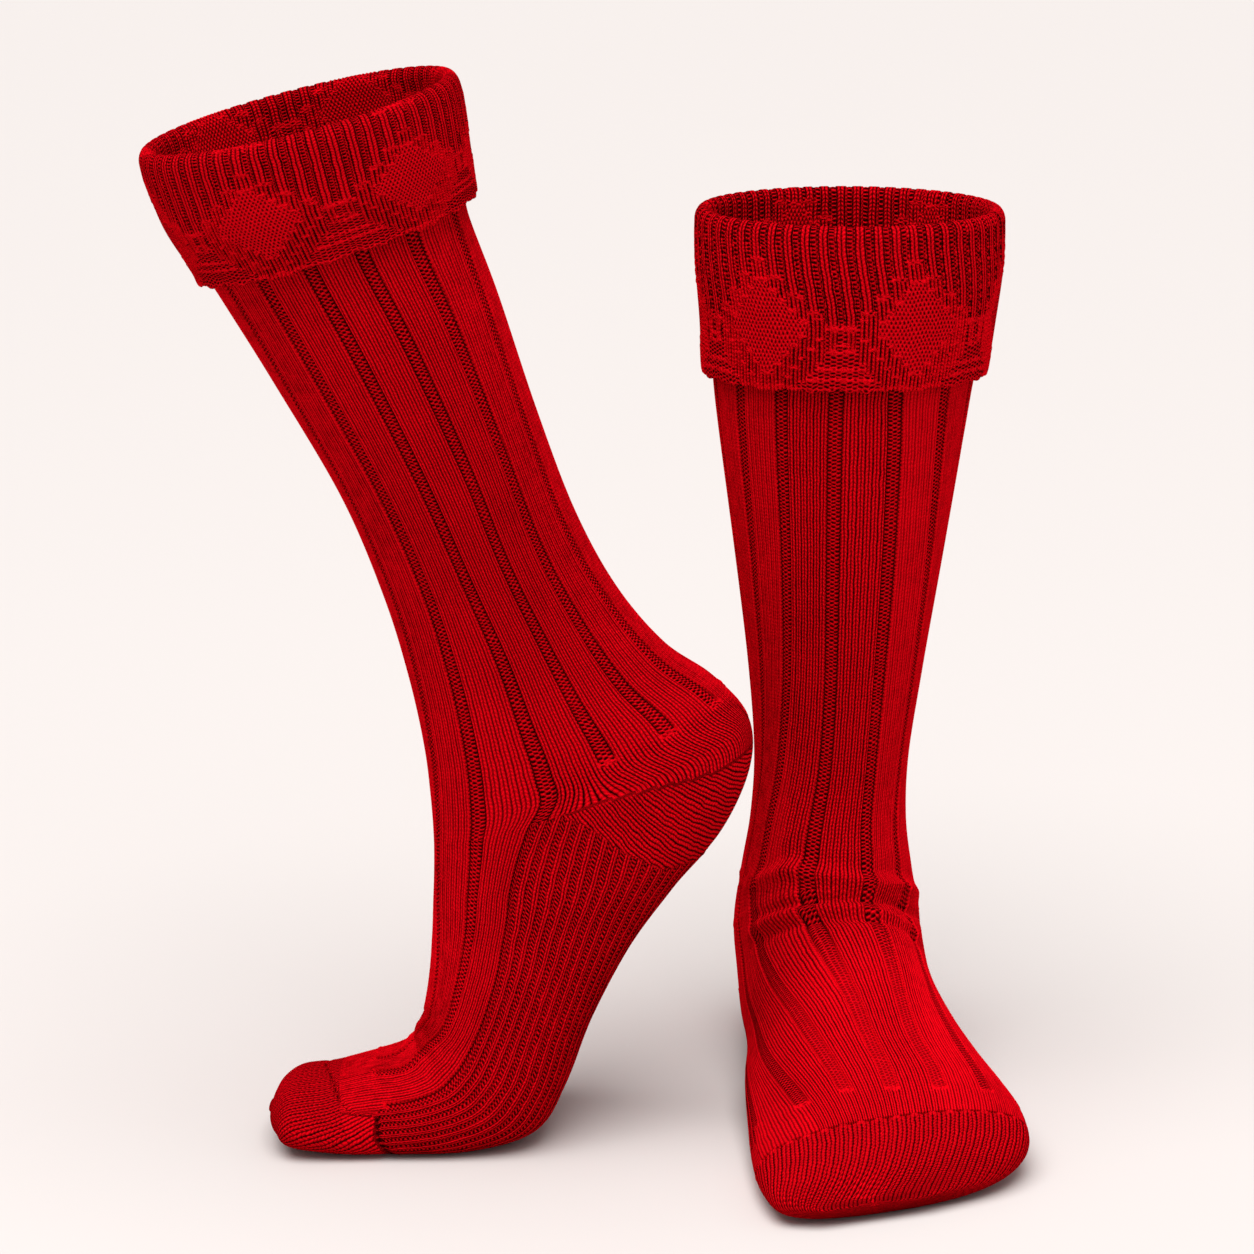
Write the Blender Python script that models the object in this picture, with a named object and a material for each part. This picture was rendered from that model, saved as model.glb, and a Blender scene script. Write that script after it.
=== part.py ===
"""Pair of kilt socks, worn form with no wearer: two knitted tubes that keep the shape of the foot and leg.

One sock stands flat with its toes towards -Y. The other leans on its ball and toes with the heel raised
and its toes towards -X. Each is drawn in six pieces: a cuff turned over the top, the ribbed calf and ankle
of the leg, a heel with its pocket, a foot with ribs under the sole, and a plain toe. Metres, +Z up, the
ground at z = 0.
"""

import math

import bmesh
import bpy
import numpy as np

MM = 0.001
WALL = 2.2  # cloth of leg, heel, foot and toe
CUFF_WALL = 2.8  # cloth of the turned-over cuff
SEAM = 0.24  # each piece stops this far short of its seam, where the seam is narrowest
PANELS = 14  # wide rib panels round the leg
PANEL_RISE = 0.4  # a panel's middle stands proud of the wall
CHANNEL_DEPTH = 0.8  # the purl channel between two panels
CHANNEL_HALF = 0.0088  # half of a channel's width, as a part of the way round
SOLE_RIBS = 12  # sole ribs, drawn at half their knitted number
SOLE_RISE = 0.3
DIAMONDS = 6  # diamonds round the cuff
CUFF_RELIEF = 0.35
FOLD_RISE = 9.4  # the rolled fold above the straight part of the cuff
FOLD_DEPTH = 6.6  # from the cuff's outside to the opening

COLOUR_LEG = (0.36, 0.002, 0.007, 1.0)
COLOUR_FOOT = (0.36, 0.002, 0.007, 1.0)
COLOUR_TOE = (0.37, 0.002, 0.007, 1.0)
COLOUR_CUFF = (0.34, 0.002, 0.006, 1.0)
ROUGHNESS = 0.9
METALLIC = 0.0

# Sections down each tube, from just under the cuff to the tip of the toe, in millimetres.
# front and back are the ends of the section in the sock's middle plane, side its shift to +Y,
# egg narrows the front of the section, square fills its corners and skew slants it in plan.
COLUMNS = ("front_x", "front_z", "back_x", "back_z", "half_width", "side", "egg", "square", "skew")

FLAT_ROWS = (
    (55.8, 303, -55.8, 303, 55.6, 2.5, 0.00, 2.0, 0.00),
    (53, 280, -53, 280, 52.5, 2, 0.00, 2.0, 0.00),
    (47, 225, -48, 225, 44.5, 1.5, 0.00, 2.0, 0.00),
    (41, 175, -46, 175, 37.5, 1, 0.00, 2.0, 0.00),
    (38, 138, -47, 132, 33, 0, 0.00, 2.1, 0.00),
    (40, 112, -51, 100, 33, -1, 0.00, 2.2, 0.00),
    (47, 93, -59, 70, 36, -1, 0.05, 2.3, 0.00),
    (57, 82, -65, 38, 39, -1, 0.06, 2.3, 0.00),
    (70, 75, -57, 12, 39, -1, 0.06, 2.3, 0.00),
    (86, 67, -29, -1.4, 40, -2, 0.04, 2.3, 0.00),
    (106, 58, 20, -1.4, 43, -2, 0.05, 2.3, 0.00),
    (128, 49, 69, 0.6, 49, -2, 0.12, 2.3, 0.00),
    (150, 40, 114, -1.4, 54, -1, 0.16, 2.3, -0.06),
    (169, 32, 154, -1.6, 57, -2, 0.12, 2.4, -0.12),
    (188, 26, 183, -1.4, 55.5, -4.5, 0.06, 2.5, -0.18),
    (204, 19.5, 203, 0.5, 46.5, -10, 0.00, 2.5, -0.24),
    (213.5, 11.5, 213.5, 5.5, 25, -17.5, 0.00, 2.0, -0.25),
)
RAISED_ROWS = (
    (100.5, 355, 3, 389.5, 55.4, 7, 0.00, 2.0, -0.02),
    (81, 322, -9, 356, 52, 6, 0.00, 2.0, -0.01),
    (54, 273, -25, 307, 45, 3, 0.00, 2.0, 0.00),
    (37, 230, -41, 264, 38.5, 0, 0.00, 2.0, 0.00),
    (27, 195, -58.5, 231, 34, 0, 0.00, 2.1, 0.00),
    (21, 165, -79, 206, 34, 0, 0.00, 2.2, 0.00),
    (18.5, 143, -99.5, 191, 35.5, 0, 0.05, 2.3, 0.00),
    (17.5, 126, -113.5, 175, 36.5, 0, 0.06, 2.3, 0.00),
    (17.5, 112, -114.5, 155, 36, 0, 0.06, 2.3, 0.00),
    (18, 97, -103.5, 130, 36.5, 0, 0.06, 2.3, 0.00),
    (18.5, 82, -83.5, 106.5, 37.5, -1, 0.05, 2.3, 0.00),
    (19.5, 67, -64.5, 82, 40.5, -1, 0.05, 2.3, 0.00),
    (22, 51, -47.5, 52, 43.5, 0, 0.08, 2.3, 0.00),
    (25, 41, -36, 24, 46, 1, 0.10, 2.3, 0.00),
    (29.5, 34.5, -24, 5, 45.5, 1.5, 0.12, 2.3, 0.00),
    (37.5, 30.5, 1, -1.5, 44, 1.5, 0.12, 2.2, 0.05),
    (49, 26.5, 30, -1.5, 42, 0.5, 0.10, 2.15, 0.10),
    (63, 23.4, 55, -1, 40, 0.5, 0.06, 2.15, 0.15),
    (77, 24.5, 76, 0.2, 36, 1.5, 0.00, 2.1, 0.20),
    (84.5, 22, 84, 3.2, 27, 2, 0.00, 2.0, 0.20),
    (88, 16.5, 88, 9.5, 14, 2.5, 0.00, 2.0, 0.20),
)
# Outside of each cuff, from just under the rolled fold to the bottom edge.
FLAT_CUFF = (
    (66, 367, -66, 367, 66, 4.5, 0.00, 2.0, 0.00),
    (66, 350, -66, 350, 65.5, 4.5, 0.00, 2.0, 0.00),
    (64, 328, -64, 328, 63.2, 4, 0.00, 2.0, 0.00),
    (62.3, 312, -62.3, 308.5, 61.6, 3.2, 0.00, 2.0, 0.00),
    (61.4, 307.5, -61.4, 303.5, 60.7, 3, 0.00, 2.0, 0.00),
)
RAISED_CUFF = (
    (131.5, 406, 4.5, 437.5, 66, 9, 0.00, 2.0, 0.01),
    (124, 386, 1.8, 418, 65.3, 8.5, 0.00, 2.0, 0.00),
    (115, 371, 0, 404.5, 62.8, 7.5, 0.00, 2.0, -0.01),
    (112.3, 366.5, -0.7, 400.6, 62.2, 7.1, 0.00, 2.0, -0.02),
    (110.7, 363, -1.0, 398.2, 61.8, 7, 0.00, 2.0, -0.02),
)

LEG_INSET = CUFF_WALL + PANEL_RISE + 1.0  # the leg's wall inside the cuff


def inset(row, by):
    """The same section, drawn in by so many millimetres all round."""
    fx, fz, bx, bz, half = row[:5]
    share = 2 * by / math.hypot(fx - bx, fz - bz)
    move = ((fx - bx) * share / 2, (fz - bz) * share / 2)
    return (fx - move[0], fz - move[1], bx + move[0], bz + move[1], half - by) + tuple(row[5:])


# How each sock stands, and where its pieces meet, counted in sections down the tube.
# wrinkles are (section, height in mm) of the folds across the ankle's front or the toe bend.
FLAT = {
    "rows": tuple(inset(row, LEG_INSET) for row in FLAT_CUFF[:3]) + FLAT_ROWS,
    "cuff": FLAT_CUFF,
    "turn": -83.0,
    "place": (104.5, 78.0),
    "sole_start": 10.38,
    "wrinkles": ((9.0, 2.2), (9.85, 1.8)),
    "calf_cuts": (0.07, 1, 2, 3, 4, 4.8, 5.6),
    "ankle_cuts": (5.6, 6.3, 7, 7.8, 8.5, 8.8, 9, 9.2, 9.38),
    "heel_cuts": (9.38, 9.62, 9.85, 10.15, 10.6, 11.2, 11.8, 12.4),
    "foot_cuts": (12.4, 12.9, 13.5, 14.2, 15, 15.6, 16.3),
    "toe_cuts": (16.3, 16.75, 17.25, 17.8, 18.3, 18.7, 19),
}
RAISED = {
    "rows": tuple(inset(row, LEG_INSET) for row in RAISED_CUFF[:3]) + RAISED_ROWS,
    "cuff": RAISED_CUFF,
    "turn": 188.0,
    "place": (-48.5, -22.0),
    "sole_start": 11.0,
    "wrinkles": ((16.45, 1.2), (17.6, 1.2)),
    "calf_cuts": (0.06, 1, 2, 3, 4, 5, 5.6),
    "ankle_cuts": (5.6, 6.3, 7, 8, 8.8, 9.4, 10),
    "heel_cuts": (10, 10.6, 11.2, 11.9, 12.7, 13.4),
    "foot_cuts": (13.4, 14.2, 15, 15.6, 16.1, 16.5, 17, 17.6, 18.3, 19, 19.7),
    "toe_cuts": (19.7, 20.2, 20.7, 21.2, 21.7, 22.15, 22.55, 22.85, 23),
}


def spline(rows, at):
    """Catmull-Rom values of the table at the given section numbers."""
    table = np.array(rows, float)
    ends = np.vstack([2 * table[0] - table[1], table, 2 * table[-1] - table[-2]])
    at = np.clip(np.atleast_1d(np.asarray(at, float)), 0.0, len(table) - 1.0)
    k = np.minimum(at.astype(int), len(table) - 2)
    t = (at - k)[:, None]
    a, b, c, d = ends[k], ends[k + 1], ends[k + 2], ends[k + 3]
    return 0.5 * (2 * b + (c - a) * t + (2 * a - 5 * b + 4 * c - d) * t**2 + (3 * b - a - 3 * c + d) * t**3)


def tube(rows, at, around):
    """Points of the plain tube: one ring for each section number, at even lengths round from the front."""
    turn = np.linspace(0.0, 2.0 * math.pi, 361)
    rings = []
    for row in spline(rows, at):
        fx, fz, bx, bz, half, side, egg, square, skew = row
        middle = np.array([(fx + bx) / 2, (fz + bz) / 2])
        reach = np.array([(fx - bx) / 2, (fz - bz) / 2])
        down = np.array([reach[1], -reach[0]]) / np.hypot(*reach)
        c, s = np.cos(turn), np.sin(turn)
        along = np.sign(c) * np.abs(c) ** (2 / square)
        across = np.sign(s) * np.abs(s) ** (2 / square) * half * (1 - egg * along)
        flat = middle + along[:, None] * reach + (skew * across)[:, None] * down
        ring = np.column_stack([flat[:, 0], side + across, flat[:, 1]])
        length = np.r_[0.0, np.cumsum(np.linalg.norm(np.diff(ring, axis=0), axis=1))]
        where = np.mod(around, 1.0) * length[-1]
        rings.append(np.column_stack([np.interp(where, length, ring[:, i]) for i in range(3)]))
    return np.array(rings)


def outward(rows, at, around):
    """Unit normals of the plain tube, facing out of the sock."""
    at, around = np.asarray(at, float), np.asarray(around, float)
    step = 0.02
    low, high = np.maximum(at - step, 0.0), np.minimum(at + step, len(rows) - 1.0)
    down = tube(rows, high, around) - tube(rows, low, around)
    across = tube(rows, at, around + 0.004) - tube(rows, at, around - 0.004)
    normal = np.cross(down, across)
    return normal / np.linalg.norm(normal, axis=2)[:, :, None]


def wrinkle(spec, at, around):
    """Folds across the front: rounded ridges that die out towards the sides."""
    ahead = np.cos(2.0 * math.pi * np.asarray(around))
    front = ahead**2 * (ahead > 0)
    rise = sum(h * np.exp(-(((np.asarray(at)[:, None] - s) / 0.17) ** 2)) for s, h in spec["wrinkles"])
    return rise * front[None, :]


def panel_ring():
    """Way round the leg, and the height there: three points to a channel and one to a panel."""
    points = []
    for k in range(PANELS):
        channel = (2 * k + 1) / (2 * PANELS)
        points += [(channel - CHANNEL_HALF, 0.2), (channel, -CHANNEL_DEPTH), (channel + CHANNEL_HALF, 0.2)]
        points.append((channel + 0.5 / PANELS, PANEL_RISE))
    points.sort()
    return np.array([p[0] for p in points]), np.array([p[1] for p in points])


def foot_ring():
    """The foot's ring: wide panels over the instep, narrow ribs under the sole."""
    points = []
    for k in range(-4, 4):
        channel = (2 * k + 1) / (2 * PANELS)
        points += [(channel - CHANNEL_HALF, 0.2), (channel, -CHANNEL_DEPTH), (channel + CHANNEL_HALF, 0.2)]
        if k < 3:
            points.append((channel + 0.5 / PANELS, PANEL_RISE))
    start = 0.25 + CHANNEL_HALF
    width = (0.5 - 2 * CHANNEL_HALF) / (2 * SOLE_RIBS + 2)
    for k in range(1, 2 * SOLE_RIBS + 2):
        points.append((start + k * width, SOLE_RISE if k % 2 else -SOLE_RISE))
    points = sorted(((u % 1.0), h) for u, h in points)
    return np.array([p[0] for p in points]), np.array([p[1] for p in points])


def plain_heel(spec, at, around):
    """1 where the sole is ribbed, 0 on the plain heel pocket, for each ring and way round."""
    behind = np.clip((np.abs(np.mod(around + 0.5, 1.0) - 0.5) - 0.25) / 0.25, 0.0, 1.0)
    edge = spec["sole_start"] + 1.4 * behind
    return np.clip((np.asarray(at)[:, None] - edge[None, :]) / 0.4, 0.0, 1.0)


def close_loft(bm, outer, inner):
    """Skins an outer stack of rings and an inner one of half as many points, joined at both open ends."""

    def skin(rings, flip):
        loops = [[bm.verts.new(p * MM) for p in ring] for ring in rings]
        for a, b in zip(loops, loops[1:]):
            for i in range(len(a)):
                j = (i + 1) % len(a)
                bm.faces.new((a[i], b[i], b[j], a[j]) if flip else (a[i], a[j], b[j], b[i]))
        return loops

    def rim(wide, narrow):
        for i in range(len(narrow)):
            j = (i + 1) % len(narrow)
            a, b, c = wide[2 * i], wide[2 * i + 1], wide[(2 * i + 2) % len(wide)]
            bm.faces.new((narrow[i], a, b))
            bm.faces.new((narrow[i], b, narrow[j]))
            bm.faces.new((narrow[j], b, c))

    outside, inside = skin(outer, False), skin(inner, True)
    rim(outside[0], inside[0])
    return outside, inside, rim


def finish(name, bm, colour, parent, collection):
    """Turns a closed bmesh into a named, coloured, smooth-shaded object."""
    bmesh.ops.recalc_face_normals(bm, faces=bm.faces)
    mesh = bpy.data.meshes.new(name)
    bm.to_mesh(mesh)
    bm.free()
    mesh.shade_smooth()
    mesh.set_sharp_from_angle(angle=math.radians(50))
    material = bpy.data.materials.new(name + "_knit")
    material.use_nodes = True
    shader = material.node_tree.nodes["Principled BSDF"]
    shader.inputs["Base Color"].default_value = colour
    shader.inputs["Roughness"].default_value = ROUGHNESS
    shader.inputs["Metallic"].default_value = METALLIC
    mesh.materials.append(material)
    piece = bpy.data.objects.new(name, mesh)
    piece.parent = parent
    collection.objects.link(piece)
    return piece


def walls(spec, outer_at, inner_at, around, relief):
    """Outer rings with their relief and plain inner rings; the ground flattens what rests on it."""
    rows = spec["rows"]
    outer = tube(rows, outer_at, around) + outward(rows, outer_at, around) * relief[:, :, None]
    half = around[::2]
    lift = wrinkle(spec, inner_at, half)[:, :, None]
    inner = tube(rows, inner_at, half) + outward(rows, inner_at, half) * (lift - WALL)
    outer[:, :, 2] = np.maximum(outer[:, :, 2], 0.0)
    inner[:, :, 2] = np.maximum(inner[:, :, 2], WALL)
    return outer, inner


def set_back(rows, at):
    """The part of a section that holds half a seam's gap, measured where the sections lie closest."""
    near, far = tube(rows, [at - 0.05, at + 0.05], np.arange(24) / 24.0)
    ahead = (far - near).mean(axis=0)
    return 0.1 * SEAM / ((far - near) @ (ahead / np.linalg.norm(ahead))).min()


def knit_tube(name, spec, cuts, ring, colour, parent, collection, ribbed=False):
    """A length of sock between two open ends, set back by half a seam where it meets the next piece."""
    around, height = ring
    outer_at = np.array(cuts, float)
    if outer_at[0] > 1.0:
        outer_at[0] += set_back(spec["rows"], cuts[0])
    outer_at[-1] -= set_back(spec["rows"], cuts[-1])
    inner_at = np.r_[outer_at[0], outer_at[1:-1:2], outer_at[-1]]
    relief = np.tile(height, (len(outer_at), 1))
    if ribbed:
        sole = np.abs(np.mod(around + 0.5, 1.0) - 0.5) > 0.25 + CHANNEL_HALF
        relief = np.where(sole[None, :], relief * plain_heel(spec, outer_at, around), relief)
    relief = relief + wrinkle(spec, outer_at, around)
    outer, inner = walls(spec, outer_at, inner_at, around, relief)
    bm = bmesh.new()
    outside, inside, rim = close_loft(bm, outer, inner)
    rim(outside[-1], inside[-1])
    return finish(name, bm, colour, parent, collection)


def toe_cap(name, spec, colour, parent, collection):
    """The plain toe: open at its seam with the foot and closed at the tip."""
    around = np.arange(32) / 32.0
    outer_at = np.array(spec["toe_cuts"], float)
    outer_at[0] += 1.6 * set_back(spec["rows"], outer_at[0])
    inner_at = outer_at[[0, 1, 2, 3]]
    outer, inner = walls(spec, outer_at, inner_at, around, np.full((len(outer_at), 32), 0.2))
    bm = bmesh.new()
    outside, inside, _ = close_loft(bm, outer, inner)
    for loop, points, flip in ((outside[-1], outer[-1], False), (inside[-1], inner[-1], True)):
        tip = bm.verts.new(points.mean(axis=0) * MM)
        for i in range(len(loop)):
            j = (i + 1) % len(loop)
            bm.faces.new((loop[j], loop[i], tip) if flip else (loop[i], loop[j], tip))
    return finish(name, bm, colour, parent, collection)


def cuff(name, spec, colour, parent, collection):
    """The turned-over cuff: a flap outside the leg, hung from a rolled fold over the leg's top edge."""
    rows = spec["cuff"]
    last = len(rows) - 1.0
    around = np.arange(8 * PANELS // 2) / (4.0 * PANELS)
    # (section, inwards, above) round the fold and down the outside, then up the inside of the flap
    fold = [(0.0, FOLD_DEPTH, -0.6), (0.0, FOLD_DEPTH, 4.0), (0.0, 5.2, 7.9), (0.0, 3.3, FOLD_RISE)]
    fold += [(0.0, 1.3, 7.9), (0.0, 0.0, 4.0), (0.0, 0.0, 0.0)]
    outside = [(s, 0.0, 0.0) for s in (0.6, 1.1, 1.6, 2.1, 2.6, 3.1, 3.6)] + [(last, 0.3, 0.0)]
    flap = [(last, CUFF_WALL - 0.3, 0.0)] + [(s, CUFF_WALL, 0.0) for s in (3.5, 2.2, 1.0)]
    flap += [(0.0, CUFF_WALL, -0.6)]

    def ring(s, inwards, above, way, relief):
        base = tube(rows, [s], way)
        normal = outward(rows, [s], way)
        fx, fz, bx, bz = spline(rows, [s])[0][:4]
        axis = np.array([-(fz - bz), 0.0, fx - bx]) / math.hypot(fx - bx, fz - bz)
        return (base + normal * (relief - inwards)[:, :, None] + axis * above)[0]

    def relief(s, way):
        height = np.where(np.arange(len(way)) % 2 == 0, CUFF_RELIEF, -CUFF_RELIEF)
        phase = np.abs(np.mod(way * DIAMONDS + 0.5, 1.0) - 0.5) * 2.0
        inside = phase + abs(s - 2.0) / 1.3 < 0.9
        return np.where(inside, -0.45, height)[None, :]

    none = np.zeros((1, len(around)))
    outer = [ring(s, i, a, around, none) for s, i, a in fold]
    outer += [ring(s, i, a, around, relief(s, around) if 0.5 < s < last else none) for s, i, a in outside]
    half = around[::2]
    inner = [ring(s, i, a, half, none[:, ::2]) for s, i, a in reversed(flap)]
    bm = bmesh.new()
    out_loops, in_loops, rim = close_loft(bm, np.array(outer), np.array(inner))
    rim(out_loops[-1], in_loops[-1])
    return finish(name, bm, colour, parent, collection)


def sock(side, spec, collection):
    """One whole sock under an empty that stands it in its place."""
    stand = bpy.data.objects.new(side + "_sock", None)
    stand.location = (spec["place"][0] * MM, spec["place"][1] * MM, 0.0)
    stand.rotation_euler = (0.0, 0.0, math.radians(spec["turn"]))
    stand.empty_display_size = 0.05
    collection.objects.link(stand)
    for part in ("calf", "ankle"):
        cuts = spec[part + "_cuts"]
        knit_tube(side + "_" + part, spec, cuts, panel_ring(), COLOUR_LEG, stand, collection)
    for part in ("heel", "foot"):
        cuts = spec[part + "_cuts"]
        knit_tube(side + "_" + part, spec, cuts, foot_ring(), COLOUR_FOOT, stand, collection, ribbed=True)
    toe_cap(side + "_toe", spec, COLOUR_TOE, stand, collection)
    cuff(side + "_cuff", spec, COLOUR_CUFF, stand, collection)


def main():
    for thing in list(bpy.data.objects):
        bpy.data.objects.remove(thing, do_unlink=True)
    collection = bpy.data.collections.new("kilt_socks")
    bpy.context.scene.collection.children.link(collection)
    sock("flat", FLAT, collection)
    sock("raised", RAISED, collection)


main()
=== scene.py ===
"""Pair of kilt socks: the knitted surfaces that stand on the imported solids.

Every surface is a grid of rings down a sock and columns round it, worked out as whole arrays. Lengths in
the tables are millimetres, ways round a sock are counted in 28ths from its front, towards its own +Y.
"""

import math

import bpy
import numpy as np
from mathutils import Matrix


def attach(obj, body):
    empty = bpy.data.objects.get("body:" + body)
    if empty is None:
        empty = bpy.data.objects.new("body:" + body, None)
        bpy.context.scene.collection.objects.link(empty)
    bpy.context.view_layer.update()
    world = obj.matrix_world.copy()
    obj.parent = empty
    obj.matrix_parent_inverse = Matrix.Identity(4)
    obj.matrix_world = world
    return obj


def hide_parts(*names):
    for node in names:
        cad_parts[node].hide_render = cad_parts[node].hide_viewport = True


bl_info = {
    "name": "Kilt socks",
    "version": (1, 0, 0),
    "blender": (4, 5, 0),
    "location": "3D View > Sidebar > Socks",
    "description": "Knits the pair of kilt socks over their packed solids",
    "category": "Add Mesh",
}

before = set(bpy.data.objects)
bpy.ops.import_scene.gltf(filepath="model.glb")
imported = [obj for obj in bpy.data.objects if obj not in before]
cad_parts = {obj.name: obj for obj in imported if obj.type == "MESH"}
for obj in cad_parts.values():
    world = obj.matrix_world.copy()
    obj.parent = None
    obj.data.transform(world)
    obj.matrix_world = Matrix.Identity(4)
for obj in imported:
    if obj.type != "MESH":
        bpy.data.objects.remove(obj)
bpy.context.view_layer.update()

MM = 0.001
WAYS = 28.0  # the whole way round a sock
PANELS = 14  # rib panels round the leg
# Across the fabric everything is counted in legs: a knit stitch is two, and so is a purl stitch.
KNIT_LEGS = 12  # knit legs of a panel
PURL_LEGS = 4  # purl legs of the channel beside it
PANEL_LEGS = KNIT_LEGS + PURL_LEGS
PURL_PART = PURL_LEGS / 2 / PANEL_LEGS + 0.003  # from a channel's middle to its crease, in parts of a panel
STOP_PART = 0.17  # the same to the end of the bar that closes a channel
PLAIN_RISE = 0.25  # height of plain knit over the tube
COURSE = 1.72  # height of one row of stitches on the leg and foot
TOE_COURSE = COURSE * 1.2
CUFF_COURSE = 0.68  # rows of loops that are drawn for each row of the cuff's chart
SOLE_RIBS = 36  # ribs under the sole
RIB_LEGS = 4  # legs of a sole rib
RIB_COLUMNS = 6  # columns of the mesh for a sole rib
TOE_COLUMNS = 248  # columns of the mesh round a toe
TOE_LEG = 1.9  # width of a leg on the toe
TOE_GROOVE = 1.5  # depth of the groove where a slanting toe begins
REPEAT = 36  # legs of one diamond on the cuff
DIAMONDS = 6
DIAMOND_ROW = 21.0  # the row of the diamonds' widest place
FLAP_ROWS = 51  # rows from the cuff's edge to its fold
FOLD_ROW = 60  # the row where the chart turns back, down inside the mouth
CUFF_WALL = 2.8
WALL = 2.2
INNER_RINGS = 16  # rings of the inner wall of a leg or foot
TOE_INNER_RINGS = 14
PANEL_RISE = 0.4  # how far the solids' rib panels stand out
FOLD_DEPTH = 6.6  # width of the rolled fold, from the outside of the cuff to the inside of the mouth
LINING = 1.1  # what the cuff takes of the leg's wall inside the mouth
LINING_END = (1.0, 1.1)  # sections between which the leg's wall grows to its full thickness
RING_STEPS = 1440  # steps that a ring is measured in
LINE = 0.05  # half width of a seam or of a channel's closing bar, in sections

# The solids' own sections: x and z of the front end and of the back end in the sock's middle plane, half
# width, shift to +Y, narrowing of the front, squareness and slant.
FLAT_ROWS = (
    (55.8, 303, -55.8, 303, 55.6, 2.5, 0, 2, 0),
    (53, 280, -53, 280, 52.5, 2, 0, 2, 0),
    (47, 225, -48, 225, 44.5, 1.5, 0, 2, 0),
    (41, 175, -46, 175, 37.5, 1, 0, 2, 0),
    (38, 138, -47, 132, 33, 0, 0, 2.1, 0),
    (40, 112, -51, 100, 33, -1, 0, 2.2, 0),
    (47, 93, -59, 70, 36, -1, 0.05, 2.3, 0),
    (57, 82, -65, 38, 39, -1, 0.06, 2.3, 0),
    (70, 75, -57, 12, 39, -1, 0.06, 2.3, 0),
    (86, 67, -29, -1.4, 40, -2, 0.04, 2.3, 0),
    (106, 58, 20, -1.4, 43, -2, 0.05, 2.3, 0),
    (128, 49, 69, 0.6, 49, -2, 0.12, 2.3, 0),
    (150, 40, 114, -1.4, 54, -1, 0.16, 2.3, -0.06),
    (169, 32, 154, -1.6, 57, -2, 0.12, 2.4, -0.12),
    (188, 26, 183, -1.4, 55.5, -4.5, 0.06, 2.5, -0.18),
    (204, 19.5, 203, 0.5, 46.5, -10, 0, 2.5, -0.24),
    (213.5, 11.5, 213.5, 5.5, 25, -17.5, 0, 2, -0.25),
)
RAISED_ROWS = (
    (100.5, 355, 3, 389.5, 55.4, 7, 0, 2, -0.02),
    (81, 322, -9, 356, 52, 6, 0, 2, -0.01),
    (54, 273, -25, 307, 45, 3, 0, 2, 0),
    (37, 230, -41, 264, 38.5, 0, 0, 2, 0),
    (27, 195, -58.5, 231, 34, 0, 0, 2.1, 0),
    (21, 165, -79, 206, 34, 0, 0, 2.2, 0),
    (18.5, 143, -99.5, 191, 35.5, 0, 0.05, 2.3, 0),
    (17.5, 126, -113.5, 175, 36.5, 0, 0.06, 2.3, 0),
    (17.5, 112, -114.5, 155, 36, 0, 0.06, 2.3, 0),
    (18, 97, -103.5, 130, 36.5, 0, 0.06, 2.3, 0),
    (18.5, 82, -83.5, 106.5, 37.5, -1, 0.05, 2.3, 0),
    (19.5, 67, -64.5, 82, 40.5, -1, 0.05, 2.3, 0),
    (22, 51, -47.5, 52, 43.5, 0, 0.08, 2.3, 0),
    (25, 41, -36, 24, 46, 1, 0.10, 2.3, 0),
    (29.5, 34.5, -24, 5, 45.5, 1.5, 0.12, 2.3, 0),
    (37.5, 30.5, 1, -1.5, 44, 1.5, 0.12, 2.2, 0.05),
    (49, 26.5, 30, -1.5, 42, 0.5, 0.10, 2.15, 0.10),
    (63, 23.4, 55, -1, 40, 0.5, 0.06, 2.15, 0.15),
    (77, 24.5, 76, 0.2, 36, 1.5, 0, 2.1, 0.20),
    (83, 22.6, 82.6, 3.8, 26, 2, 0, 2, 0.20),
    (85.8, 18.8, 85.8, 7.8, 17, 2.5, 0, 2, 0.20),
    (87, 15, 87, 11.5, 7, 2.5, 0, 2, 0.20),
)
FLAT_CUFF = (
    (66, 367, -66, 367, 66, 4.5, 0, 2, 0),
    (66, 350, -66, 350, 65.5, 4.5, 0, 2, 0),
    (64, 328, -64, 328, 63.2, 4, 0, 2, 0),
    (62.3, 312, -62.3, 308.5, 61.6, 3.2, 0, 2, 0),
    (61.4, 307.5, -61.4, 303.5, 60.7, 3, 0, 2, 0),
)
RAISED_CUFF = (
    (131.5, 406, 4.5, 437.5, 66, 9, 0, 2, 0.01),
    (124, 386, 1.8, 418, 65.3, 8.5, 0, 2, 0),
    (115, 371, 0, 404.5, 62.8, 7.5, 0, 2, -0.01),
    (112.3, 366.5, -0.7, 400.6, 62.2, 7.1, 0, 2, -0.02),
    (110.7, 363, -1, 398.2, 61.8, 7, 0, 2, -0.02),
)
LEG_INSET = CUFF_WALL + PANEL_RISE + 1.0

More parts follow.
